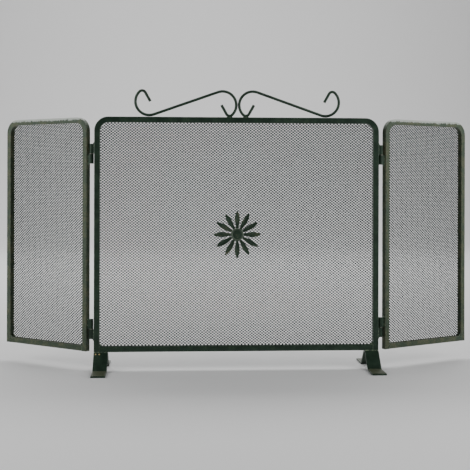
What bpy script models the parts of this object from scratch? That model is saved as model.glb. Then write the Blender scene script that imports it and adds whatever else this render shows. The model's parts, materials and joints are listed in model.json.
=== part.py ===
"""A folding fire screen in painted steel: a centre panel on two bent feet, with a hinged wing at each side.

Units are metres and +Z is up. The panels are laid out about the middle of the centre panel, whose front
faces -Y, and the whole is then moved so that the origin is on the floor under the middle of its box.
"""

import math

import bmesh
import bpy
from mathutils import Matrix, Vector

# Driving dimensions
CLEARANCE = 0.0003  # between pieces that touch or are welded

BAR = 0.012  # side of the square bar of the frames
BAR_EDGE = 0.0009  # cut taken off the bar's four edges
CORNER_RADIUS = 0.024  # bend of the bar at the top corners, at its middle

CENTRE_WIDTH = 0.610
CENTRE_HEIGHT = 0.500
WING_WIDTH = 0.238
WING_HEIGHT = 0.498
FLOOR_TO_CENTRE = 0.038
FLOOR_TO_WING = 0.039

FOLD_LEFT = math.radians(37.0)  # how far each wing stands back from the centre panel's plane
FOLD_RIGHT = math.radians(29.0)

# The meshes are expanded metal: rows of flat strands, zigzag, each joined to the next at every turn.
MESH_MARGIN = 0.0055  # from the frame's outer edge to the edge of the mesh
DIAMOND_WIDTH = 0.00736
DIAMOND_HEIGHT = 0.00585
STRAND_WIDTH = 0.0022
STRAND_THICKNESS = 0.00045
STRAND_TILT = math.radians(44.0)  # how far a strand's upper edge leans to the front

HINGE_GAP = 0.0118  # between the frames of an open screen
HINGE_INSET = 0.0025  # from the hinge axis to the back of the bars
UPPER_HINGE_DROP = 0.079  # from the top of the centre frame to the middle of the hinge
LOWER_HINGE_RISE = 0.0485  # from its bottom
BARREL_LENGTH = 0.042
BARREL_RADIUS = 0.0045
BORE_RADIUS = 0.00258
PIN_RADIUS = 0.0025
PIN_INSET = 0.0006  # from the barrel's end to the pin's end
PIN_CHAMFER = 0.0008
LEAF_THICKNESS = 0.0018
LEAF_PROUD = 0.0007  # how far a leaf stands in front of its barrel
LEAF_FLARE = 0.004  # how much longer a leaf is at its weld than at its barrel
HINGE_WASHER_RADIUS = 0.0050
HINGE_WASHER_THICKNESS = 0.0008
HINGE_PLAY = 0.0002  # above and below the washer

FOOT_WIDTH = 0.030
FOOT_THICKNESS = 0.004
FOOT_EDGE = 0.0005  # cut taken off the foot's four edges
FOOT_REACH = 0.0925  # from the panel's plane to each toe's end
FOOT_CROWN = 0.0065  # half of the flat under the frame
FOOT_SLOPE = math.radians(46.0)
FOOT_BEND = 0.006

ROD_RADIUS = 0.0030
SCROLL_RISE = 19.43  # degrees, the slope of the long straight
SCROLL_STRAIGHT = 0.1455
SCROLL_CURL_RADIUS = 0.02925
SCROLL_CURL_TURN = 154.4
SCROLL_HOOK_RADIUS = 0.008
SCROLL_HOOK_TURN = 106.0
SCROLL_TIP = 0.0215

PETALS = 12
PETAL_TIP_RADIUS = 0.052
PETAL_ROOT_RADIUS = 0.012
PETAL_ROOT_HALF = 0.0020
PETAL_SWELL = 0.0046
PETAL_BLUNTNESS = 0.8  # below 1 rounds the tip
PETAL_LIFT = 0.0018  # how far a petal's edges stand in front of its crease
PETAL_STATIONS = 8
PETAL_SHEET = 0.0010
FLOWER_HEIGHT = 0.2488  # above the centre frame's bottom
BOSS_RADIUS = 0.014
BOSS_EDGE = 0.0008  # height of the boss's straight edge
BOSS_EDGE_CUT = 0.0004
RIM_RADIUS = 0.0116  # of the raised ring on the boss, at its middle
RIM_HALF = 0.0014
RIM_HEIGHT = 0.0033
DOME_RADIUS = 0.0085
DOME_HEIGHT = 0.0030
DOME_FALL = 0.0011  # from its middle to its edge
SHANK_RADIUS = 0.002
SHANK_HOLE = 0.0024
SHANK_END = 0.0092  # behind the back of the bars
BACK_WASHER_RADIUS = 0.009
BACK_WASHER_THICKNESS = 0.0012
NUT_RADIUS = 0.00405
NUT_THICKNESS = 0.003
NUT_BORE = 0.0021

BEND_STEP = 9.0  # degrees between the points of a bend
ROUND_SIDES = 24
SMOOTH_UP_TO = math.radians(35.0)
MERGE = 1e-6

# Derived places
BAR_BACK = BAR / 2
MESH_FRONT = BAR_BACK + CLEARANCE
MESH_DEPTH = 2 * STRAND_WIDTH * math.sin(STRAND_TILT) + STRAND_THICKNESS * math.cos(STRAND_TILT)
# A plain sheet of this thickness holds as much steel as the strands, which are the diamonds' sides.
STRAND_PER_AREA = 2 * math.hypot(DIAMOND_WIDTH, DIAMOND_HEIGHT) / (DIAMOND_WIDTH * DIAMOND_HEIGHT)
SHEET_THICKNESS = STRAND_PER_AREA * STRAND_WIDTH * STRAND_THICKNESS
AXIS_X = CENTRE_WIDTH / 2 + HINGE_GAP / 2
AXIS_Y = BAR_BACK - HINGE_INSET
UPPER_HINGE_Z = FLOOR_TO_CENTRE + CENTRE_HEIGHT - UPPER_HINGE_DROP
LOWER_HINGE_Z = FLOOR_TO_CENTRE + LOWER_HINGE_RISE


def clear_scene():
    for obj in list(bpy.data.objects):
        bpy.data.objects.remove(obj)


def material(name, colour, roughness, metallic):
    made = bpy.data.materials.new(name)
    made.use_nodes = True
    shader = made.node_tree.nodes["Principled BSDF"]
    shader.inputs["Base Color"].default_value = (*colour, 1.0)
    shader.inputs["Roughness"].default_value = roughness
    shader.inputs["Metallic"].default_value = metallic
    return made


def put(name, bm, finish, parent, closed=True):
    """The bmesh as a named object under its parent, with its round faces shaded smooth."""
    if closed:
        bmesh.ops.recalc_face_normals(bm, faces=bm.faces)
    mesh = bpy.data.meshes.new(name)
    bm.to_mesh(mesh)
    bm.free()
    mesh.shade_smooth()
    mesh.set_sharp_from_angle(angle=SMOOTH_UP_TO)
    mesh.materials.append(finish)
    obj = bpy.data.objects.new(name, mesh)
    bpy.context.scene.collection.objects.link(obj)
    obj.parent = parent
    return obj


def empty(name, location, turn, parent):
    obj = bpy.data.objects.new(name, None)
    bpy.context.scene.collection.objects.link(obj)
    obj.location = location
    obj.rotation_euler = (0, 0, turn)
    obj.parent = parent
    return obj


def add_boolean(obj, other, operation):
    other.hide_render = True
    other.display_type = "WIRE"
    modifier = obj.modifiers.new(operation.lower(), "BOOLEAN")
    modifier.operation = operation
    modifier.solver = "EXACT"
    modifier.object = other


# Paths and profiles


def circle(radius, sides):
    return [
        Vector((radius * math.cos(a), radius * math.sin(a)))
        for a in (2 * math.pi * i / sides for i in range(sides))
    ]


def chamfered(width, depth, cut):
    """The eight corners of a rectangle whose four corners are cut."""
    w, d = width / 2, depth / 2
    return [
        Vector(p)
        for p in (
            (w, -d + cut),
            (w, d - cut),
            (w - cut, d),
            (-w + cut, d),
            (-w, d - cut),
            (-w, -d + cut),
            (-w + cut, -d),
            (w - cut, -d),
        )
    ]


def bent(start, heading, moves):
    """The middle line of a bent bar. A move is a straight's length, or a bend's (degrees, radius)."""
    point = Vector(start)
    points = [point.copy()]
    heading = math.radians(heading)
    for move in moves:
        if isinstance(move, float):
            point = point + move * Vector((math.cos(heading), math.sin(heading)))
            points.append(point.copy())
            continue
        turn, radius = math.radians(move[0]), math.copysign(move[1], move[0])
        middle = point + radius * Vector((-math.sin(heading), math.cos(heading)))
        steps = math.ceil(abs(move[0]) / BEND_STEP)
        for i in range(1, steps + 1):
            at = heading + turn * i / steps
            points.append(middle + radius * Vector((math.sin(at), -math.cos(at))))
        heading += turn
        point = points[-1]
    return points


def rounded(corners, radius):
    """The line through these corners, with a bend of this radius in place of each inner one."""
    points = [Vector(corners[0])]
    for before, corner, after in zip(corners, corners[1:], corners[2:]):
        corner = Vector(corner)
        into = (corner - Vector(before)).normalized()
        out = (Vector(after) - corner).normalized()
        turn = math.atan2(into.cross(out), into.dot(out))
        start = corner - into * radius * math.tan(abs(turn) / 2)
        heading = math.degrees(math.atan2(into.y, into.x))
        points += bent(start, heading, [(math.degrees(turn), radius)])
    points.append(Vector(corners[-1]))
    return points


def sweep(path, profile, across, up):
    """A bar with this profile along a flat path. The profile's first number is across the path."""
    side = across.cross(up)
    bm = bmesh.new()
    rings = []
    for i, point in enumerate(path):
        into = (point - path[max(i - 1, 0)]).normalized()
        out = (path[min(i + 1, len(path) - 1)] - point).normalized()
        along = (into + out).normalized()
        stretch = 1 / along.dot(into if into.length else out)
        normal = stretch * Vector((-along.y, along.x))
        ring = []
        for offset in profile:
            flat = point + offset.x * normal
            ring.append(bm.verts.new(across * flat.x + up * flat.y + side * offset.y))
        rings.append(ring)
    count = len(profile)
    for lower, upper in zip(rings, rings[1:]):
        for i in range(count):
            j = (i + 1) % count
            bm.faces.new((lower[i], lower[j], upper[j], upper[i]))
    bm.faces.new(rings[0])
    bm.faces.new(rings[-1])
    return bm


def plate(outline, front, thickness):
    """A flat plate facing -Y, with this outline of (x, z) points and its front face at y = front."""
    bm = bmesh.new()
    face = bm.faces.new([bm.verts.new((x, front, z)) for x, z in outline])
    grown = bmesh.ops.extrude_face_region(bm, geom=[face])
    back = [v for v in grown["geom"] if isinstance(v, bmesh.types.BMVert)]
    bmesh.ops.translate(bm, verts=back, vec=(0, thickness, 0))
    return bm


def ring_prism(outer, inner, low, high):
    """A prism with a hole through it. Both outlines have the same number of points."""
    bm = bmesh.new()
    low_out = [bm.verts.new((p.x, p.y, low)) for p in outer]
    low_in = [bm.verts.new((p.x, p.y, low)) for p in inner]
    high_out = [bm.verts.new((p.x, p.y, high)) for p in outer]
    high_in = [bm.verts.new((p.x, p.y, high)) for p in inner]
    count = len(outer)
    for first, second in ((low_out, low_in), (low_in, high_in), (high_in, high_out), (high_out, low_out)):
        for i in range(count):
            j = (i + 1) % count
            bm.faces.new((first[i], first[j], second[j], second[i]))
    return bm


def turned(profile, sides):
    """A solid turned about Z from (radius, height) points that start and end on the axis."""
    bm = bmesh.new()
    verts = [bm.verts.new((r, 0, z)) for r, z in profile]
    edges = [bm.edges.new(pair) for pair in zip(verts, verts[1:])]
    whole = 2 * math.pi
    geom = verts + edges
    bmesh.ops.spin(bm, geom=geom, axis=(0, 0, 1), angle=whole, steps=sides, use_merge=True)
    bmesh.ops.remove_doubles(bm, verts=bm.verts, dist=MERGE)
    return bm


def moved(bm, matrix):
    bmesh.ops.transform(bm, matrix=matrix, verts=bm.verts)
    return bm


# Panels


def hoop(width, height):
    """The bar that makes both legs and the top, from the bottom at the left to the bottom at the right."""
    half = (width - BAR) / 2
    top = height - BAR / 2
    path = rounded([(-half, 0), (-half, top), (half, top), (half, 0)], CORNER_RADIUS)
    return sweep(path, chamfered(BAR, BAR, BAR_EDGE), Vector((1, 0, 0)), Vector((0, 0, 1)))


def bottom_rail(width):
    half = width / 2 - BAR - CLEARANCE
    path = [Vector((-half, BAR / 2)), Vector((half, BAR / 2))]
    return sweep(path, chamfered(BAR, BAR, BAR_EDGE), Vector((1, 0, 0)), Vector((0, 0, 1)))


def mesh_sheet(width, height):
    """A flat sheet behind the bars, in the expanded mesh's place, with the frame's outline drawn in."""
    half = width / 2 - MESH_MARGIN
    top = height - MESH_MARGIN
    corner = CORNER_RADIUS + BAR / 2 - MESH_MARGIN
    outline = rounded([(-half, MESH_MARGIN), (-half, top), (half, top), (half, MESH_MARGIN)], corner)
    return plate([(p.x, p.y) for p in outline], MESH_FRONT, SHEET_THICKNESS)


def add_panel(prefix, width, height, place, parent, paint, mesh_paint):
    parts = (("hoop", hoop(width, height), paint), ("bottom_rail", bottom_rail(width), paint))
    for name, bm, finish in parts:
        put(f"{prefix}_{name}", moved(bm, place), finish, parent)
    return put(f"{prefix}_mesh", moved(mesh_sheet(width, height), place), mesh_paint, parent)


# Hinges


def knuckle(side, low, high, flare_at_top):
    """Half a barrel about Z, and the leaf that joins it to a stile on the given side, -1 or +1."""
    outer = circle(BARREL_RADIUS, ROUND_SIDES)
    barrel = ring_prism(outer, circle(BORE_RADIUS, ROUND_SIDES), low, high)
    reach = HINGE_GAP / 2 - CLEARANCE
    top_flare = LEAF_FLARE if flare_at_top else 0
    bottom_flare = LEAF_FLARE - top_flare
    outline = [
        (side * reach, low - bottom_flare),
        (side * reach, high + top_flare),
        (side * BARREL_RADIUS / 2, high - CLEARANCE),
        (0, high - CLEARANCE),
        (0, low + CLEARANCE),
        (side * BARREL_RADIUS / 2, low + CLEARANCE),
    ]
    return barrel, plate(outline, -BARREL_RADIUS - LEAF_PROUD, LEAF_THICKNESS)


def add_knuckle(name, side, span, flare_at_top, place, finish):
    parent, height = place
    barrel, leaf = knuckle(side, *span, flare_at_top)
    up = Matrix.Translation((0, 0, height))
    body = put(name, moved(barrel, up), finish, parent)
    add_boolean(body, put(f"{name}_leaf", moved(leaf, up), finish, parent), "UNION")


def add_hinge(prefix, side, height, upper_on_centre, fixed, wing, paint, steel):
    """Two knuckles, a washer and a pin. The pin and the washer stay with the lower knuckle."""
    half = BARREL_LENGTH / 2
    split = HINGE_WASHER_THICKNESS / 2 + HINGE_PLAY
    upper, lower = (fixed, wing) if upper_on_centre else (wing, fixed)
    # Seen from the axis, the centre panel is inward and the wing is outward.
    upper_side, lower_side = (-side, side) if upper_on_centre else (side, -side)
    add_knuckle(f"{prefix}_upper_knuckle", upper_side, (split, half), True, (upper, height), paint)
    add_knuckle(f"{prefix}_lower_knuckle", lower_side, (-half, -split), False, (lower, height), paint)
    washer = ring_prism(
        circle(HINGE_WASHER_RADIUS, ROUND_SIDES),
        circle(BORE_RADIUS, ROUND_SIDES),
        -HINGE_WASHER_THICKNESS / 2,
        HINGE_WASHER_THICKNESS / 2,
    )
    up = Matrix.Translation((0, 0, height))
    put(f"{prefix}_washer", moved(washer, up), steel, lower)
    end = half - PIN_INSET
    half_pin = [(PIN_RADIUS, end - PIN_CHAMFER), (PIN_RADIUS - PIN_CHAMFER, end), (0, end)]
    pin = [(r, -z) for r, z in reversed(half_pin)] + half_pin
    put(f"{prefix}_pin", moved(turned(pin, ROUND_SIDES), up), steel, lower)


# Feet and scrolls


def foot():
    """A flat bar bent to an arch with a toe at each end, square to the panel."""
    low = FOOT_THICKNESS / 2
    high = FLOOR_TO_CENTRE - CLEARANCE - FOOT_THICKNESS / 2
    heel = FOOT_CROWN + (high - low) / math.tan(FOOT_SLOPE)
    side = [(-FOOT_REACH, low), (-heel, low), (-FOOT_CROWN, high)]
    corners = side + [(-y, z) for y, z in reversed(side)]
    profile = chamfered(FOOT_THICKNESS, FOOT_WIDTH, FOOT_EDGE)
    return sweep(rounded(corners, FOOT_BEND), profile, Vector((0, 1, 0)), Vector((0, 0, 1)))


def scroll_path():
    """The rod's middle line: an S that looks the same when turned half round, outer tip first."""
    half = [SCROLL_TIP, (SCROLL_HOOK_TURN, SCROLL_HOOK_RADIUS), (SCROLL_CURL_TURN, SCROLL_CURL_RADIUS)]
    heading = SCROLL_RISE - SCROLL_HOOK_TURN - SCROLL_CURL_TURN
    back_half = [m if isinstance(m, float) else (-m[0], m[1]) for m in reversed(half)]
    path = bent((0, 0), heading, half + [SCROLL_STRAIGHT] + back_half)
    rail_top = FLOOR_TO_CENTRE + CENTRE_HEIGHT
    rightmost = max(p.x for p in path)
    lowest = min(p.y for p in path)
    shift = Vector((-ROD_RADIUS - CLEARANCE / 2 - rightmost, rail_top + ROD_RADIUS + CLEARANCE - lowest))
    return [p + shift for p in path]


def scroll(side):
    """The left scroll, or its mirror image at the right."""
    path = [Vector((-side * p.x, p.y)) for p in scroll_path()]
    return sweep(path, circle(ROD_RADIUS, ROUND_SIDES // 2), Vector((1, 0, 0)), Vector((0, 0, 1)))


# Flower


def petal_half_width(t):
    """Half of a petal's width, t from 0 at its root to 1 at its tip."""
    swell = math.sin(math.pi * t**1.3) ** PETAL_BLUNTNESS
    return PETAL_ROOT_HALF * (1 - t) + PETAL_SWELL * swell


def rosette_sheet():
    """A sheet with a hole and twelve creased petals, in the plane z = 0, its edges rising along +Z."""
    bm = bmesh.new()
    root_half_angle = math.asin(PETAL_ROOT_HALF / PETAL_ROOT_RADIUS)
    hub, hole = [], []
    for k in range(PETALS):
        middle = 2 * math.pi * k / PETALS + math.pi / 2
        along = Vector((math.cos(middle), math.sin(middle), 0))
        beside = Vector((-along.y, along.x, 0))
        row = []
        for a in (middle - root_half_angle, middle, middle + root_half_angle):
            ray = Vector((math.cos(a), math.sin(a), 0))
            row.append(bm.verts.new(ray * PETAL_ROOT_RADIUS))
            hole.append(bm.verts.new(ray * SHANK_HOLE))
        hub += row
        for i in range(1, PETAL_STATIONS):
            t = i / PETAL_STATIONS
            spine = along * (PETAL_ROOT_RADIUS + t * (PETAL_TIP_RADIUS - PETAL_ROOT_RADIUS))
            edge = beside * petal_half_width(t)
            rise = Vector((0, 0, PETAL_LIFT * math.sin(math.pi * t)))
            following = [bm.verts.new(p) for p in (spine - edge + rise, spine, spine + edge + rise)]
            for a, b in ((0, 1), (1, 2)):
                bm.faces.new((row[a], following[a], following[b], row[b]))
            row = following
        tip = bm.verts.new(along * PETAL_TIP_RADIUS)
        for a, b in ((0, 1), (1, 2)):
            bm.faces.new((row[a], tip, row[b]))
    for i in range(len(hub)):
        j = (i + 1) % len(hub)
        bm.faces.new((hole[i], hub[i], hub[j], hole[j]))
    bm.normal_update()
    bmesh.ops.reverse_faces(bm, faces=[f for f in bm.faces if f.normal.z < 0])
    return bm


def boss():
    """The flower's centre, its face along +Z, with a shank that runs back through the mesh."""
    base = 2 * CLEARANCE + PETAL_SHEET
    crown = [(t * DOME_RADIUS, base + DOME_HEIGHT - DOME_FALL * t**2) for t in (0, 0.25, 0.5, 0.75, 1)]
    ridge = [
        (RIM_RADIUS - RIM_HALF * math.cos(a), base + RIM_HEIGHT - RIM_HALF * (1 - math.sin(a)))
        for a in (math.pi * i / 6 for i in range(7))
    ]
    edge = base + BOSS_EDGE
    skirt = [(BOSS_RADIUS - BOSS_EDGE_CUT, edge + BOSS_EDGE_CUT), (BOSS_RADIUS, edge), (BOSS_RADIUS, base)]
    shank = [(SHANK_RADIUS, base), (SHANK_RADIUS, -SHANK_END), (0, -SHANK_END)]
    return turned(crown + ridge + skirt + shank, ROUND_SIDES * 2)


def hexagon(radius, sides):
    """Points spread over a hexagon's outline, as many as a circle of that many sides has."""
    points = []
    for p in circle(1, sides):
        angle = math.atan2(p.y, p.x)
        from_flat = (angle % (math.pi / 3)) - math.pi / 6
        points.append(p * radius * math.cos(math.pi / 6) / math.cos(from_flat))
    return points


def add_flower(parent, mesh, paint, steel):
    # Turns +Z to the front, -Y, and keeps +X. Height 0 is the back of the bars.
    middle = Matrix.Translation((0, BAR_BACK, FLOOR_TO_CENTRE + FLOWER_HEIGHT))
    facing = middle @ Matrix.Rotation(math.pi / 2, 4, "X")
    rosette = put("flower_rosette", moved(rosette_sheet(), facing), paint, parent, closed=False)
    rosette.location.y = -CLEARANCE
    solidify = rosette.modifiers.new("sheet", "SOLIDIFY")
    solidify.thickness = PETAL_SHEET
    solidify.offset = 1
    put("flower_boss", moved(boss(), facing), paint, parent)
    round_hole = circle(SHANK_HOLE, ROUND_SIDES)
    high = -2 * CLEARANCE - MESH_DEPTH
    low = high - BACK_WASHER_THICKNESS
    washer = ring_prism(circle(BACK_WASHER_RADIUS, ROUND_SIDES), round_hole, low, high)
    put("flower_back_washer", moved(washer, facing), steel, parent)
    high = low - CLEARANCE
    low = high - NUT_THICKNESS
    nut = ring_prism(hexagon(NUT_RADIUS, ROUND_SIDES), circle(NUT_BORE, ROUND_SIDES), low, high)
    put("flower_nut", moved(nut, facing), steel, parent)
    deep = MESH_DEPTH
    drill = turned([(0, -deep), (SHANK_HOLE, -deep), (SHANK_HOLE, deep), (0, deep)], ROUND_SIDES)
    add_boolean(mesh, put("flower_drill", moved(drill, facing), steel, parent), "DIFFERENCE")


def centre_on_origin(root):
    """Moves the root so that the origin is on the floor, under the middle of the screen's box."""
    bpy.context.view_layer.update()
    solids = [obj for obj in bpy.data.objects if obj.type == "MESH" and not obj.hide_render]
    points = [obj.matrix_world @ vertex.co for obj in solids for vertex in obj.data.vertices]
    for axis in (0, 1):
        values = [p[axis] for p in points]
        root.location[axis] = -(min(values) + max(values)) / 2


def main():
    clear_scene()
    paint = material("dark_green_paint", (0.010, 0.019, 0.012), 0.38, 0.0)
    mesh_paint = material("mesh_paint", (0.014, 0.022, 0.018), 0.45, 0.0)
    steel = material("dull_steel", (0.20, 0.19, 0.17), 0.42, 1.0)

    root = empty("screen", (0, 0, 0), 0, None)
    lifted = Matrix.Translation((0, 0, FLOOR_TO_CENTRE))
    mesh = add_panel("centre", CENTRE_WIDTH, CENTRE_HEIGHT, lifted, root, paint, mesh_paint)
    add_flower(root, mesh, paint, steel)
    put("left_scroll", scroll(-1), paint, root)
    put("right_scroll", scroll(1), paint, root)

    for name, side, fold in (("left", -1, FOLD_LEFT), ("right", 1, FOLD_RIGHT)):
        outward = side * (CENTRE_WIDTH - FOOT_WIDTH) / 2
        put(f"{name}_foot", moved(foot(), Matrix.Translation((outward, 0, 0))), paint, root)
        fixed = empty(f"{name}_hinge_axis", (side * AXIS_X, AXIS_Y, 0), 0, root)
        wing = empty(f"{name}_wing_swing", (side * AXIS_X, AXIS_Y, 0), side * fold, root)
        middle = side * (HINGE_GAP + WING_WIDTH) / 2
        place = Matrix.Translation((middle, -AXIS_Y, FLOOR_TO_WING))
        add_panel(f"{name}_wing", WING_WIDTH, WING_HEIGHT, place, wing, paint, mesh_paint)
        for where, height, on_centre in (("upper", UPPER_HINGE_Z, True), ("lower", LOWER_HINGE_Z, False)):
            add_hinge(f"{name}_{where}_hinge", side, height, on_centre, fixed, wing, paint, steel)

    centre_on_origin(root)


main()
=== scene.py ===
"""The looks of a folding fire screen in painted steel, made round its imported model.

Lengths are in metres. A panel is one of the screen's three framed meshes, and each has its own axes: x
across it to the right, y to its back from the front of its mesh, z up from the floor.
"""

import json
import math

import bpy
import numpy as np
from mathutils import Matrix, Vector


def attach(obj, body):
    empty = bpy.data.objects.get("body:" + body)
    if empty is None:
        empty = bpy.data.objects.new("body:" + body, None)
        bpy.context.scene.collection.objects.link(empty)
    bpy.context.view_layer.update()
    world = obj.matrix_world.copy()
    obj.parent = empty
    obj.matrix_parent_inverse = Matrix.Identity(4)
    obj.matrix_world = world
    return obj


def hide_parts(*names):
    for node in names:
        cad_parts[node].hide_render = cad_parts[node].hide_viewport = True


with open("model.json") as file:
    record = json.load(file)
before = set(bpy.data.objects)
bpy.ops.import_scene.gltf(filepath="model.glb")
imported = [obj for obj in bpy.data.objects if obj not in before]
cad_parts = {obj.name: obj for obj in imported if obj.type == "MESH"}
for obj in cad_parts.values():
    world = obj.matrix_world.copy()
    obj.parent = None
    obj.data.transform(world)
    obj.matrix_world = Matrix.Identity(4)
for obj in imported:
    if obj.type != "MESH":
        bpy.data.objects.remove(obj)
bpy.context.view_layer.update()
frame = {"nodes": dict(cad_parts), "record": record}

# Sizes that the frame's plain solids don't show
DIAMOND_WIDTH = 0.00736
DIAMOND_HEIGHT = 0.00585
STRAND_WIDTH = 0.0022
STRAND_THICKNESS = 0.00045
STRAND_TILT = math.radians(44.0)
BOND_LENGTH = 0.0012  # where two strands meet
SIDE_TRIM = 0.0006  # how far the mesh's cut sides stay inside the plain sheet's
MESH_DEPTH = 2 * STRAND_WIDTH * math.sin(STRAND_TILT) + STRAND_THICKNESS * math.cos(STRAND_TILT)
MESH_CORNER = 0.0245  # radius of the meshes' cut top corners
MESH_CORNER_CUTS = (18, 36, 54, 72)  # degrees from upright, of the straight cuts that make the corner
BAR = 0.012
BAR_OVER_MESH = 0.0065  # how far the bars cover the mesh's edges
WING_HIGHLIGHT_FROM = 0.5305  # height above the floor, from which the wings' tops carry a painted highlight

# Weld metal. A fillet fills a bottom corner, and a seam runs down the face of the joint there.
LUMP_ROUGHNESS = 0.16  # how far a lump strays from round, as a share of its radius
LUMP_STEP = 0.8  # from one lump of a run to the next, as a share of a lump's radius
RUN_ROUGHNESS = 0.10  # how much further a run's lumps stray, as a share of a lump's radius
FILLET_RADIUS = 0.0018
FILLET_DEPTHS = (-0.0022, -0.0095)  # behind and in front of the bar's middle, on the panel's own axis
FILLET_RISE = 0.0034  # up the stile
FILLET_RUN = 0.0040  # along the rail
FILLET_IN_STILE = 0.0004
FILLET_IN_RAIL = 0.0002
SEAM_RADIUS = 0.0008
SEAM_ENDS = (0.0005, 0.0006)  # below the rail's top, and above its underside
SEAM_FRONT = 0.0121  # in front of the mesh, just inside the bars' front faces
TACK_RADIUS = 0.0020
TACK_SPACING = 0.062
TACK_DEPTH = 0.0011  # behind the front of the mesh
HINGE_WELD_RADIUS = 0.0011
HINGE_WELD_SHORT = 0.0012  # from the leaf's end to the weld's
LEAF_END = 0.0006  # the part of a leaf that counts as its welded end
DRIP_RADIUS = 0.0020
DRIP_IN = 0.0010  # from the mesh's side
DRIP_BELOW = 0.0036  # below the mesh's bottom
FOOT_WELD_RADIUS = 0.0013
FOOT_WELD_OUT = 0.0001  # from the frame's faces to the weld's middle line
FOOT_WELD_SHORT = 0.0022  # from the foot's side to the weld's end
SPOT_RADIUS = 0.0017
SPOT_PLACES = (0.0046, 0.0122)  # from the foot's left side
SPOT_FRONT = 0.0042  # in front of the bars
SPOT_BELOW = 0.0040  # below the frame
SCROLL_WELD_RADIUS = 0.0011
SCROLL_WELD_HALF = 0.0035
SCROLL_WELD_BESIDE = 0.0013  # from the rod's middle line

# Rounded edges
FLOWER_EDGE = 0.0003
FOOT_EDGE = 0.0004
EDGE_SEGMENTS = 3
EDGE_SHARPER_THAN = math.radians(32)
FLAT_WITHIN = math.radians(1)
SMOOTH_UP_TO = math.radians(40)

# The paper that the screen stands on
FLOOR_WIDTH = 14.0
FLOOR_DEPTH = 11.0
FLOOR_MIDDLE = 0.5  # how far its middle is behind the origin
WALL_HEIGHT = 6.0
WALL_CURVE = 2.0
WALL_SEGMENTS = 16

CAMERA_PLACE = (-0.1471, -2.1902, 0.3989)
CAMERA_YAW = math.radians(-3.52)
CAMERA_ROLL = math.radians(0.15)
CAMERA_LENS = 77.4
CAMERA_SHIFT = -0.112


# Working in edit mode


def deselect_all():
    if bpy.context.object and bpy.context.object.mode == "EDIT":
        bpy.ops.object.mode_set(mode="OBJECT")
    bpy.ops.object.select_all(action="DESELECT")


def pick(obj):
    """Makes this the only selected object, and the active one."""
    deselect_all()
    obj.select_set(True)
    bpy.context.view_layer.objects.active = obj
    return obj


def edit(obj):
    pick(obj)
    bpy.ops.object.mode_set(mode="EDIT")


def stop_editing():
    bpy.ops.object.mode_set(mode="OBJECT")
    return bpy.context.object


def apply_modifiers(obj):
    pick(obj)
    for modifier in list(obj.modifiers):
        bpy.ops.object.modifier_apply(modifier=modifier.name)
    return obj


def named(obj, name):
    obj.name = name
    obj.data.name = name
    return obj


def placed(obj, matrix):
    """Moves the mesh itself, so that the object is at the origin, unturned and unscaled."""
    obj.data.transform(matrix @ obj.matrix_world)
    obj.matrix_world = Matrix.Identity(4)
    return obj


def join(pieces, name):
    deselect_all()
    for piece in pieces:
        piece.select_set(True)
    bpy.context.view_layer.objects.active = pieces[0]
    bpy.ops.object.join()
    return named(bpy.context.object, name)


def finished_piece(obj, finish, body):
    obj.data.materials.clear()
    obj.data.materials.append(finish)
    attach(obj, body)
    return obj


def array(obj, count, step, merge=True):
    modifier = obj.modifiers.new("row", "ARRAY")
    modifier.count = count
    modifier.use_relative_offset = False
    modifier.use_constant_offset = True
    modifier.constant_offset_displace = step
    modifier.use_merge_vertices = merge
    modifier.merge_threshold = 0.00002
    return apply_modifiers(obj)


def cut(obj, point, outward):
    """Cuts off all that lies outward of a plane, and closes the cut ends."""
    edit(obj)
    bpy.ops.mesh.select_all(action="SELECT")
    bpy.ops.mesh.bisect(plane_co=point, plane_no=outward, use_fill=True, clear_outer=True)
    return stop_editing()


# The panels


class Panel:
    """The place of one panel, measured on the plain sheet that stands for its mesh."""

    def __init__(self, prefix, body):
        self.prefix = prefix
        self.body = body
        points = np.array([v.co for v in frame["nodes"][f"{prefix}_mesh"].data.vertices])
        flat = points[:, :2] - points[:, :2].mean(0)
        across = np.linalg.svd(flat, full_matrices=False)[2][0]
        across *= math.copysign(1, across[0])
        back = np.array([-across[1], across[0]])
        along = points[:, :2] @ across
        deep = points[:, :2] @ back
        middle = across * (along.min() + along.max()) / 2 + back * deep.min()
        self.half_width = (along.max() - along.min()) / 2
        self.low = points[:, 2].min()
        self.high = points[:, 2].max()
        self.turn = math.atan2(across[1], across[0])
        self.matrix = Matrix.Translation((*middle, 0)) @ Matrix.Rotation(self.turn, 4, "Z")


PANELS = [Panel("centre", "centre"), Panel("left_wing", "left_wing"), Panel("right_wing", "right_wing")]


# Expanded mesh


def strand_pair():
    """Two rows of one diamond's width, each a flat strand that runs level, rises, runs level and falls."""
    rise = DIAMOND_HEIGHT / 2 - STRAND_WIDTH * math.cos(STRAND_TILT)
    depth = STRAND_WIDTH * math.sin(STRAND_TILT)
    run = DIAMOND_WIDTH / 2 - BOND_LENGTH
    low_y = MESH_DEPTH / 2 - depth / 2
    low_z = STRAND_WIDTH * math.cos(STRAND_TILT) / 2
    rows = []
    for step in (0, 1):
        bpy.ops.mesh.primitive_plane_add(size=1, location=(0, 0, 0))
        row = bpy.context.object
        row.data.transform(
            Matrix.Translation((step * DIAMOND_WIDTH / 2, low_y, low_z + step * DIAMOND_HEIGHT / 2))
            @ Matrix.Rotation(STRAND_TILT, 4, "X")
            @ Matrix.Diagonal((1, STRAND_THICKNESS, STRAND_WIDTH, 1))
            @ Matrix.Rotation(math.pi / 2, 4, "Y")
        )
        edit(row)
        bpy.ops.mesh.select_all(action="SELECT")
        for move in ((BOND_LENGTH, 0, 0), (run, depth, rise), (BOND_LENGTH, 0, 0), (run, -depth, -rise)):
            bpy.ops.mesh.extrude_region_move(TRANSFORM_OT_translate={"value": move})
        bpy.ops.mesh.delete(type="FACE")
        bpy.ops.mesh.select_all(action="SELECT")
        bpy.ops.mesh.normals_make_consistent(inside=False)
        rows.append(stop_editing())
    return join(rows, "strands")


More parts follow.
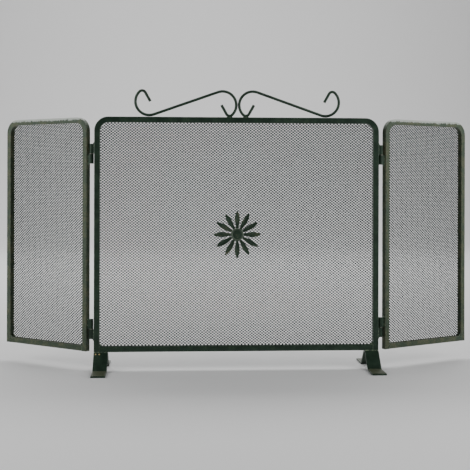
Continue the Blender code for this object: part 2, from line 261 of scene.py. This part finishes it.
def expanded_mesh(half_width, first_row, pairs, low):
    """A sheet of whole rows, cut straight just inside the plain sheet's sides."""
    sheet = strand_pair()
    array(sheet, math.ceil(2 * half_width / DIAMOND_WIDTH) + 2, (DIAMOND_WIDTH, 0, 0))
    placed(sheet, Matrix.Translation((-half_width - DIAMOND_WIDTH, 0, low + first_row * DIAMOND_HEIGHT)))
    array(sheet, pairs, (0, 0, DIAMOND_HEIGHT))
    for side in (-1, 1):
        cut(sheet, (side * (half_width - SIDE_TRIM), 0, 0), (side, 0, 0))
    return sheet


def round_corners(sheet, half_width, top):
    """Cuts each top corner along the sides of a round one."""
    for side in (-1, 1):
        middle = Vector((side * (half_width - MESH_CORNER), 0, top - MESH_CORNER))
        for angle in MESH_CORNER_CUTS:
            a = math.radians(angle)
            outward = Vector((side * math.sin(a), 0, math.cos(a)))
            cut(sheet, middle + outward * MESH_CORNER, outward)


def add_mesh(panel, sheets, finish):
    height = panel.high - panel.low
    pairs = int(height / DIAMOND_HEIGHT)
    low = panel.low + (height - pairs * DIAMOND_HEIGHT) / 2
    done = 0
    for i, name in enumerate(sheets):
        here = (pairs * (i + 1)) // len(sheets) - done
        sheet = expanded_mesh(panel.half_width, done, here, low)
        done += here
        if name == sheets[-1]:
            round_corners(sheet, panel.half_width, panel.high)
        placed(sheet, panel.matrix)
        named(sheet, name)
        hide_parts(f"{panel.prefix}_mesh")
        finished_piece(sheet, finish, panel.body)


# Welds


def drop(place, radius, seed):
    """One uneven lump of weld metal."""
    bpy.ops.mesh.primitive_ico_sphere_add(subdivisions=2, radius=1, location=(0, 0, 0))
    lump = bpy.context.object
    edit(lump)
    bpy.ops.mesh.select_all(action="SELECT")
    bpy.ops.transform.vertex_random(offset=LUMP_ROUGHNESS, uniform=0.4, seed=seed)
    stop_editing()
    lump.data.shade_smooth()
    return placed(lump, Matrix.Translation(place) @ Matrix.Diagonal((radius, radius, radius, 1)))


def bead(start, end, radius, seed):
    """A run of weld, its lumps lapping over one another."""
    start, end = Vector(start), Vector(end)
    count = max(2, round((end - start).length / (radius * LUMP_STEP)))
    run = array(drop(start, radius, seed), count, (end - start) / (count - 1), merge=False)
    edit(run)
    bpy.ops.mesh.select_all(action="SELECT")
    bpy.ops.transform.vertex_random(offset=radius * RUN_ROUGHNESS, uniform=0.0, seed=seed + 1)
    return stop_editing()


def vertices(node):
    """The corners of a plain solid of the frame."""
    return np.array([v.co for v in frame["nodes"][node].data.vertices])


def add_corner_welds(panel, finish):
    """Two fillets in each bottom corner, and a seam down the front of the joint beside them."""
    inner = panel.half_width - BAR_OVER_MESH
    rail_top = panel.low + BAR_OVER_MESH
    beads = []
    for side in (-1, 1):
        for y in FILLET_DEPTHS:
            start = (side * (inner + FILLET_IN_STILE), y, rail_top + FILLET_RISE)
            end = (side * (inner - FILLET_RUN), y, rail_top - FILLET_IN_RAIL)
            beads.append(bead(start, end, FILLET_RADIUS, 7 + side))
        start = (side * inner, -SEAM_FRONT, rail_top - SEAM_ENDS[0])
        end = (side * inner, -SEAM_FRONT, rail_top - BAR + SEAM_ENDS[1])
        beads.append(bead(start, end, SEAM_RADIUS, 11 + side))
    welds = placed(join(beads, f"{panel.prefix}_corner_welds"), panel.matrix)
    finished_piece(welds, finish, panel.body)


def add_tacks(panel, finish):
    """The small welds that hold the mesh to the backs of the bars."""
    middle = BAR_OVER_MESH / 2
    height = panel.high - panel.low - 2 * MESH_CORNER
    width = 2 * (panel.half_width - MESH_CORNER)
    tacks = []
    for side in (-1, 1):
        count = round(height / TACK_SPACING)
        for i in range(count):
            z = panel.low + MESH_CORNER + height * i / (count - 1)
            tacks.append(drop((side * (panel.half_width - middle), TACK_DEPTH, z), TACK_RADIUS, i * 3 + side))
    for z in (panel.low + middle, panel.high - middle):
        count = round(width / TACK_SPACING) + 1
        for i in range(count):
            tacks.append(drop((width * (i / (count - 1) - 0.5), TACK_DEPTH, z), TACK_RADIUS, i * 5))
    tacked = placed(join(tacks, f"{panel.prefix}_mesh_tacks"), panel.matrix)
    finished_piece(tacked, finish, panel.body)


def add_hinge_welds(finish):
    """A run of weld at each hinge leaf's end, along the bar that holds it."""
    bodies = frame["record"]["behaviour"]["bodies"]
    for body, nodes in bodies.items():
        beads = []
        for seed, node in enumerate(n for n in nodes if n.endswith("knuckle")):
            points = vertices(node)
            axis = vertices(f"{node.rsplit('_', 2)[0]}_pin").mean(0)
            away = np.hypot(*(points - axis)[:, :2].T)
            end = points[away > away.max() - LEAF_END]
            x, y = end[:, :2].mean(0)
            low, high = end[:, 2].min() + HINGE_WELD_SHORT, end[:, 2].max() - HINGE_WELD_SHORT
            beads.append(bead((x, y, low), (x, y, high), HINGE_WELD_RADIUS, seed))
        finished_piece(join(beads, f"{body}_hinge_welds"), finish, body)


def add_drips(finish):
    """A lump of weld in the underside of each wing's hinge-side corner, nearly level with it."""
    for side, panel in ((-1, PANELS[1]), (1, PANELS[2])):
        place = Vector((-side * (panel.half_width - DRIP_IN), -BAR / 2, panel.low - DRIP_BELOW))
        lump = named(drop(panel.matrix @ place, DRIP_RADIUS, 4), f"{panel.prefix}_drip")
        finished_piece(lump, finish, panel.body)


def add_foot_welds(finish):
    """Runs along the joint of each foot and the frame, at its front and its back."""
    frame_low = vertices("centre_hoop")[:, 2].min()
    bar_y = vertices("centre_hoop")[:, 1]
    for seed, side in enumerate(("left", "right")):
        x = vertices(f"{side}_foot")[:, 0]
        z = frame_low - FOOT_WELD_OUT
        beads = []
        for y in (bar_y.min() - FOOT_WELD_OUT, bar_y.max() + FOOT_WELD_OUT):
            start, end = (x.min() + FOOT_WELD_SHORT, y, z), (x.max() - FOOT_WELD_SHORT, y, z)
            beads.append(bead(start, end, FOOT_WELD_RADIUS, seed))
        finished_piece(join(beads, f"{side}_foot_welds"), finish, "centre")


def add_bare_spots(finish):
    """Two brassy spots where the left foot's weld was ground and never painted."""
    hoop, foot = vertices("centre_hoop"), vertices("left_foot")
    y = hoop[:, 1].min() - SPOT_FRONT
    z = hoop[:, 2].min() - SPOT_BELOW
    spots = [drop((foot[:, 0].min() + x, y, z), SPOT_RADIUS, i) for i, x in enumerate(SPOT_PLACES)]
    finished_piece(join(spots, "left_foot_bare_spots"), finish, "centre")


def add_scroll_welds(finish):
    """A run of weld at the front and the back of the rod, at each place where a scroll touches the rail."""
    for side in ("left", "right"):
        points = vertices(f"{side}_scroll")
        low = points[points[:, 2] < points[:, 2].min() + 0.0004]
        lumps = []
        for seed, group in enumerate((low[low[:, 0] < low[:, 0].mean()], low[low[:, 0] > low[:, 0].mean()])):
            x, y, z = group.mean(0)
            for beside in (y - SCROLL_WELD_BESIDE, y + SCROLL_WELD_BESIDE):
                start, end = (x - SCROLL_WELD_HALF, beside, z), (x + SCROLL_WELD_HALF, beside, z)
                lumps.append(bead(start, end, SCROLL_WELD_RADIUS, seed + 20))
        finished_piece(join(lumps, f"{side}_scroll_welds"), finish, "centre")


# Pieces with rounded edges


def add_rounded(node, body, width, finish):
    """A copy of one plain solid, its loose triangles joined into whole faces and its edges rounded."""
    source = frame["nodes"][node]
    copy = bpy.data.objects.new(f"{node}_rounded", source.data.copy())
    bpy.context.scene.collection.objects.link(copy)
    edit(copy)
    bpy.ops.mesh.select_all(action="SELECT")
    bpy.ops.mesh.remove_doubles(threshold=0.00001)
    bpy.ops.mesh.dissolve_limited(angle_limit=FLAT_WITHIN)
    stop_editing()
    modifier = copy.modifiers.new("edges", "BEVEL")
    modifier.width = width
    modifier.segments = EDGE_SEGMENTS
    modifier.limit_method = "ANGLE"
    modifier.angle_limit = EDGE_SHARPER_THAN
    modifier.harden_normals = False
    apply_modifiers(copy)
    pick(copy)
    bpy.ops.object.shade_smooth_by_angle(angle=SMOOTH_UP_TO)
    named(copy, f"{node}_rounded")
    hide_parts(node)
    return finished_piece(copy, finish, body)


# Materials


class Number:
    """A socket that holds one number or colour. Python's operators on it add Math nodes."""

    def __init__(self, finish, socket):
        self.finish = finish
        self.socket = socket

    def math(self, operation, first, second):
        return self.finish.node("ShaderNodeMath", {"operation": operation}, {0: first, 1: second})[0]

    def __add__(self, other):
        return self.math("ADD", self, other)

    def __sub__(self, other):
        return self.math("SUBTRACT", self, other)

    def __rsub__(self, other):
        return self.math("SUBTRACT", other, self)

    def __mul__(self, other):
        return self.math("MULTIPLY", self, other)

    __radd__ = __add__
    __rmul__ = __mul__


class Finish:
    """A material under construction, with its Principled shader."""

    def __init__(self, name):
        self.material = bpy.data.materials.new(name)
        self.material.use_nodes = True
        self.tree = self.material.node_tree
        self.shader = self.tree.nodes["Principled BSDF"]
        coordinates = self.node("ShaderNodeTexCoord", {}, {})
        self.normal = coordinates[1]
        self.place = coordinates[3]

    def node(self, kind, settings, inputs):
        """Adds a node. Its settings come first, then its sockets' values or links. Gives its outputs."""
        node = self.tree.nodes.new(kind)
        for key, value in settings.items():
            setattr(node, key, value)
        for key, value in inputs.items():
            self.feed(node.inputs[key], value)
        return [Number(self, socket) for socket in node.outputs]

    def feed(self, socket, value):
        if isinstance(value, Number):
            self.tree.links.new(value.socket, socket)
        else:
            socket.default_value = value

    def noise(self, size, detail=2.0, roughness=0.5, vector=None):
        """Noise from 0 to 1 whose lumps are about this big."""
        inputs = {"Vector": vector or self.place, "Scale": 1 / size, "Detail": detail, "Roughness": roughness}
        return self.node("ShaderNodeTexNoise", {}, inputs)[0]

    def step(self, value, low, high):
        """0 below low and 1 above high, smooth between them."""
        settings = {"interpolation_type": "SMOOTHSTEP"}
        inputs = {"Value": value, "From Min": low, "From Max": high}
        return self.node("ShaderNodeMapRange", settings, inputs)[0]

    def mix(self, factor, a, b):
        """A colour between a and b, which a Mix node takes at its sockets 6 and 7."""
        settings = {"data_type": "RGBA"}
        return self.node("ShaderNodeMix", settings, {"Factor": factor, 6: a, 7: b})[2]

    def facing(self, direction):
        """How far the surface faces this way in its own object, from -1 to 1."""
        settings = {"operation": "DOT_PRODUCT"}
        return self.node("ShaderNodeVectorMath", settings, {0: self.normal, 1: direction})[1]

    def height(self):
        return self.node("ShaderNodeSeparateXYZ", {}, {0: self.place})[2]

    def bump(self, height, depth):
        return self.node("ShaderNodeBump", {}, {"Height": height, "Distance": depth})[0]

    def finished(self, colour, roughness, normal=None, metallic=0.0, **constants):
        self.feed(self.shader.inputs["Base Color"], colour)
        self.feed(self.shader.inputs["Roughness"], roughness)
        self.feed(self.shader.inputs["Metallic"], metallic)
        if normal:
            self.feed(self.shader.inputs["Normal"], normal)
        for name, value in constants.items():
            self.feed(self.shader.inputs[name.replace("_", " ")], value)
        return self.material


def rgb(r, g, b):
    return (r, g, b, 1.0)


def mesh_paint():
    finish = Finish("mesh_paint")
    patches = finish.noise(0.030, detail=4.0)
    grain = finish.noise(0.0015, detail=2.0)
    colour = finish.mix(finish.step(patches, 0.35, 0.65), rgb(0.005, 0.015, 0.015), rgb(0.010, 0.028, 0.027))
    colour = finish.mix(finish.step(grain, 0.62, 0.74) * 0.4, colour, rgb(0.030, 0.050, 0.042))
    tint = rgb(0.6, 1.0, 0.95)
    return finish.finished(colour, 0.50 + patches * 0.2, Specular_Tint=tint, Specular_IOR_Level=0.3)


def paint(
    name,
    dark,
    light,
    speckle_and_glint,
    share,
    wear_and_highlight,
    edges=None,
    highlight_reach=0.0,
    top_colour=None,
    highlight_from=None,
    lumps=0.00035,
):
    """Thick satin paint with darker and lighter patches, and more speckles with more share; on the flower
    the speckles are painted glints.

    It takes the colour wear_and_highlight where a face stands at 45 degrees to the edges direction, as the
    cut edges of a bar do, and on flatter faces too with more highlight_reach: worn paint on the bars, a
    painted highlight on the flower's creases and rims. top_colour is a painted highlight on all that is
    higher than highlight_from; where that isn't given, top_colour lightens what faces straight up. The height
    of the surface's bumps is lumps.
    """
    finish = Finish(name)
    patches = finish.noise(0.018, detail=5.0, roughness=0.6)
    spots = finish.noise(0.0024, detail=4.0, roughness=0.65)
    peel = finish.noise(0.0017, detail=2.0)
    colour = finish.mix(finish.step(patches, 0.38, 0.62), dark, light)
    breakup_noise = finish.noise(0.006, detail=6.0, roughness=0.7)
    # Speckles; on the flower they are painted glints.
    speckle_and_glint_mask = finish.step(spots + (patches - 0.5) * 0.7, 0.62 - share, 0.74 - share)
    colour = finish.mix(speckle_and_glint_mask, colour, speckle_and_glint)
    if edges:
        across = finish.facing(edges)
        corner = across * across * (1 - across * across) * 4
        # Worn paint on a bar's cut edges; on the flower, a painted highlight on the creases and rims, and on
        # faces tilted within highlight_reach.
        colour = finish.mix(finish.step((corner + highlight_reach) * (breakup_noise + 0.25), 0.62, 0.86), colour, wear_and_highlight)
    if highlight_from:
        # A painted highlight, pale and ragged at its lower edge, on all above highlight_from: the wings' top
        # rails.
        high = finish.height() + (breakup_noise - 0.5) * 0.014
        colour = finish.mix(finish.step(high, highlight_from, highlight_from + 0.0035), colour, top_colour)
    elif top_colour:
        # Lighter on what faces straight up: the tops of the feet's toes.
        up = finish.step(finish.facing((0, 0, 1)), 0.85, 0.97) * (0.5 + breakup_noise)
        colour = finish.mix(up, colour, top_colour)
    roughness = 0.26 + patches * 0.22 + speckle_and_glint_mask * 0.12
    height = peel + spots * 0.7
    return finish.finished(colour, roughness, finish.bump(height, lumps), Specular_Tint=rgb(0.80, 1.0, 0.82))


def centre_paint(name, edges, top_colour=None):
    return paint(
        name,
        dark=rgb(0.006, 0.017, 0.010),
        light=rgb(0.012, 0.030, 0.018),
        speckle_and_glint=rgb(0.034, 0.052, 0.026),
        share=0.02,
        wear_and_highlight=rgb(0.040, 0.060, 0.042),
        edges=edges,
        top_colour=top_colour,
    )


def flower_paint():
    # The flower's brown-gold speckles are painted glints, and its wear colour, on the petals' creases and
    # tilted faces and on the boss's rim, is a painted highlight.
    return paint(
        "flower_paint",
        dark=rgb(0.006, 0.018, 0.010),
        light=rgb(0.014, 0.034, 0.020),
        speckle_and_glint=rgb(0.090, 0.085, 0.045),
        share=0.05,
        wear_and_highlight=rgb(0.110, 0.140, 0.105),
        edges=(0, 1, 0),
        highlight_reach=0.42,
        lumps=0.0005,
    )


def wing_paint(name, edges):
    # Lighter and more olive than the centre's paint, partly a painted sheen for the light the angled wings
    # catch; its pale top colour is a painted highlight on the top rails.
    return paint(
        name,
        dark=rgb(0.014, 0.026, 0.012),
        light=rgb(0.034, 0.044, 0.018),
        speckle_and_glint=rgb(0.085, 0.080, 0.042),
        share=0.09,
        wear_and_highlight=rgb(0.120, 0.125, 0.095),
        edges=edges,
        top_colour=rgb(0.46, 0.48, 0.45),
        highlight_from=WING_HIGHLIGHT_FROM,
        lumps=0.0006,
    )


def weld_paint():
    finish = Finish("weld_paint")
    spots = finish.noise(0.004, detail=4.0)
    colour = finish.mix(finish.step(spots, 0.45, 0.62), rgb(0.018, 0.042, 0.026), rgb(0.170, 0.230, 0.140))
    return finish.finished(colour, 0.28 + spots * 0.2, finish.bump(finish.noise(0.0008), 0.0002))


def bare_brass():
    finish = Finish("bare_brass")
    grain = finish.noise(0.0009, detail=3.0)
    colour = finish.mix(grain, rgb(0.42, 0.33, 0.14), rgb(0.80, 0.68, 0.38))
    return finish.finished(colour, 0.45 + grain * 0.2, metallic=0.5)


def dull_steel():
    finish = Finish("dull_steel")
    grain = finish.noise(0.001, detail=3.0)
    colour = finish.mix(grain, rgb(0.16, 0.15, 0.13), rgb(0.30, 0.28, 0.25))
    return finish.finished(colour, 0.35 + grain * 0.2, metallic=1.0)


# Floor, light and camera


def select_edges(obj, chosen):
    """Selects the edges whose two ends both pass a test, and no others."""
    for edge in obj.data.edges:
        edge.select = all(chosen(obj.data.vertices[v].co) for v in edge.vertices)


def add_stage():
    """A sheet of pale paper: a floor that curves up to a wall behind the screen."""
    deselect_all()
    bpy.ops.mesh.primitive_plane_add(size=1, location=(0, 0, 0))
    floor = named(bpy.context.object, "studio_floor")
    size = Matrix.Diagonal((FLOOR_WIDTH, FLOOR_DEPTH, 1, 1))
    placed(floor, Matrix.Translation((0, FLOOR_MIDDLE, 0)) @ size)
    edit(floor)
    bpy.ops.mesh.select_all(action="DESELECT")
    stop_editing()
    select_edges(floor, lambda end: end.y > 1)
    edit(floor)
    bpy.ops.mesh.select_mode(type="EDGE")
    bpy.ops.mesh.extrude_region_move(TRANSFORM_OT_translate={"value": (0, 0, WALL_HEIGHT)})
    stop_editing()
    select_edges(floor, lambda end: end.y > 1 and end.z < 0.1)
    edit(floor)
    bpy.ops.mesh.bevel(offset=WALL_CURVE, segments=WALL_SEGMENTS, affect="EDGES")
    stop_editing()
    floor.data.shade_smooth()
    paper = Finish("studio_paper")
    floor.data.materials.append(paper.finished(rgb(0.80, 0.80, 0.80), 0.9, Specular_IOR_Level=0.1))


def add_light(name, place, target, size, power):
    """A rectangular lamp at this place, aimed at its target."""
    data = bpy.data.lights.new(name, "AREA")
    data.shape = "RECTANGLE"
    data.size, data.size_y = size
    data.energy = power
    light = bpy.data.objects.new(name, data)
    bpy.context.scene.collection.objects.link(light)
    light.location = place
    light.rotation_euler = (Vector(target) - Vector(place)).to_track_quat("-Z", "Y").to_euler()


def add_lights():
    world = bpy.data.worlds.new("studio")
    bpy.context.scene.world = world
    world.use_nodes = True
    background = world.node_tree.nodes["Background"]
    background.inputs["Color"].default_value = rgb(0.16, 0.16, 0.16)
    add_light("left_softbox", (-2.3, -0.35, 1.1), (-0.3, 0, 0.35), (1.5, 2.0), 26)
    add_light("right_softbox", (2.3, -0.65, 1.1), (0.3, 0, 0.35), (1.5, 2.0), 26)
    add_light("front_right_strip", (1.7, -1.7, 1.2), (0.0, 0, 0.3), (0.45, 1.2), 12)
    add_light("front_left_strip", (-1.9, -1.5, 1.2), (0.0, 0, 0.3), (0.45, 1.2), 7)
    add_light("high_back", (0, 1.7, 2.8), (0, 1.2, 0), (5.0, 1.4), 88)
    add_light("backdrop", (0, 2.6, 2.9), (0, 5.2, 1.0), (4.0, 0.8), 95)


def add_camera():
    data = bpy.data.cameras.new("camera")
    data.lens = CAMERA_LENS
    data.shift_y = CAMERA_SHIFT
    data.clip_end = 60
    camera = bpy.data.objects.new("camera", data)
    bpy.context.scene.collection.objects.link(camera)
    camera.location = CAMERA_PLACE
    camera.rotation_euler = (math.pi / 2, -CAMERA_ROLL, CAMERA_YAW)
    bpy.context.scene.camera = camera


def paints():
    """The paint of each panel's bars, keyed by the first words of their names, and of the other pieces."""
    made = {"centre": centre_paint("centre_paint", tuple(PANELS[0].matrix.col[1].xyz))}
    for panel in PANELS[1:]:
        made[panel.prefix] = wing_paint(f"{panel.prefix}_paint", tuple(panel.matrix.col[1].xyz))
    # The feet are lighter on the faces that look straight up, and worn on the rounded edges at their sides.
    made["foot"] = centre_paint("foot_paint", (1, 0, 0), top_colour=rgb(0.085, 0.095, 0.060))
    made["flower"] = flower_paint()
    made["round"] = centre_paint("round_piece_paint", None)
    return made


def dress_frame(made, steel):
    """Gives each plain solid of the frame its paint or its bare steel."""
    slots = {row["node"]: row["material_slot"] for row in frame["record"]["subparts"]}
    for name, node in frame["nodes"].items():
        finish = made["round"]
        if slots[name] == "dull_steel":
            finish = steel
        elif name.endswith("_foot"):
            finish = made["foot"]
        elif name.endswith(("_hoop", "_rail")):
            finish = made[next(key for key in ("left_wing", "right_wing", "centre") if name.startswith(key))]
        for slot in node.material_slots:
            slot.material = finish


made_paints = paints()
steel = dull_steel()
dress_frame(made_paints, steel)
mesh_finish = mesh_paint()
weld_finish = weld_paint()
add_mesh(PANELS[0], ["centre_mesh_lower", "centre_mesh_middle", "centre_mesh_upper"], mesh_finish)
add_mesh(PANELS[1], ["left_wing_expanded_mesh"], mesh_finish)
add_mesh(PANELS[2], ["right_wing_expanded_mesh"], mesh_finish)
for panel in PANELS:
    add_corner_welds(panel, weld_finish)
    add_tacks(panel, weld_finish)
add_hinge_welds(weld_finish)
add_drips(weld_finish)
add_foot_welds(weld_finish)
add_bare_spots(bare_brass())
add_scroll_welds(weld_finish)
for flower_part in ("flower_rosette", "flower_boss"):
    add_rounded(flower_part, "centre", FLOWER_EDGE, made_paints["flower"])
for foot in ("left_foot", "right_foot"):
    add_rounded(foot, "centre", FOOT_EDGE, made_paints["foot"])
add_stage()
add_lights()
add_camera()
